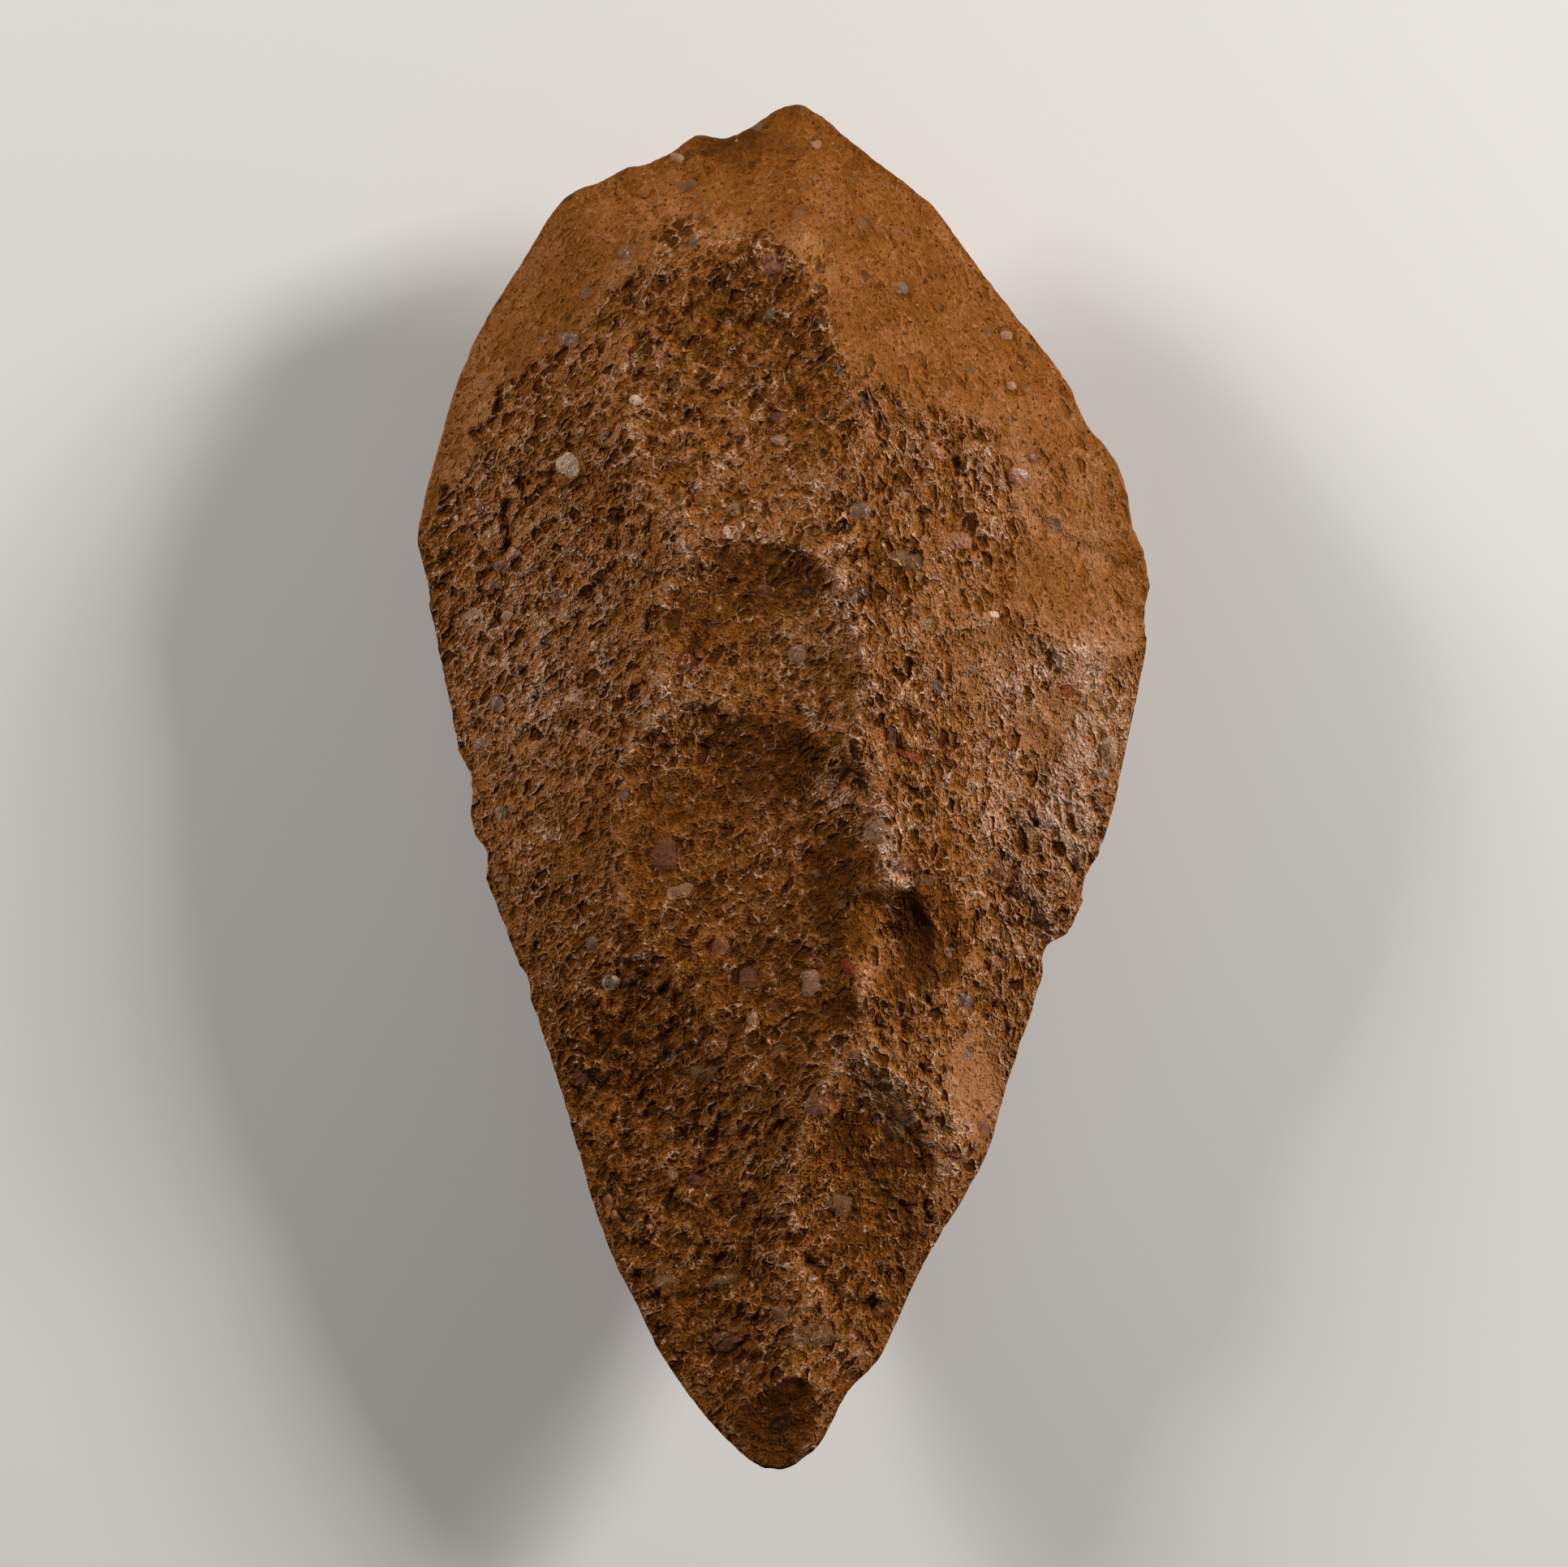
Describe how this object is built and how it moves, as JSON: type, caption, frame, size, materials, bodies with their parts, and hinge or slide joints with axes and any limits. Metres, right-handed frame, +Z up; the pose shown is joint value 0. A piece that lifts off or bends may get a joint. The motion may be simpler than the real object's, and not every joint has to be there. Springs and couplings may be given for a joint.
{
  "type": "stone hand axe",
  "caption": "Pear-shaped flaked stone hand axe with a broad butt, a rounded point, a crested upper face and a flat resting facet underneath.",
  "frame": {"origin": "middle of the outline's box, on the surface that the axe lies on", "axes": "+Y from the point to the butt, +X to the right with the crested face up and the butt away, +Z up out of the crested face"},
  "size_m": [0.0964, 0.18, 0.039],
  "materials": {
    "stone": "coarse pebbly quartzite with a rust-brown patina, satin on the smooth flake scars and duller in the pits"
  },
  "bodies": {
    "root": {"hand_axe": "stone"}
  },
  "joints": []
}
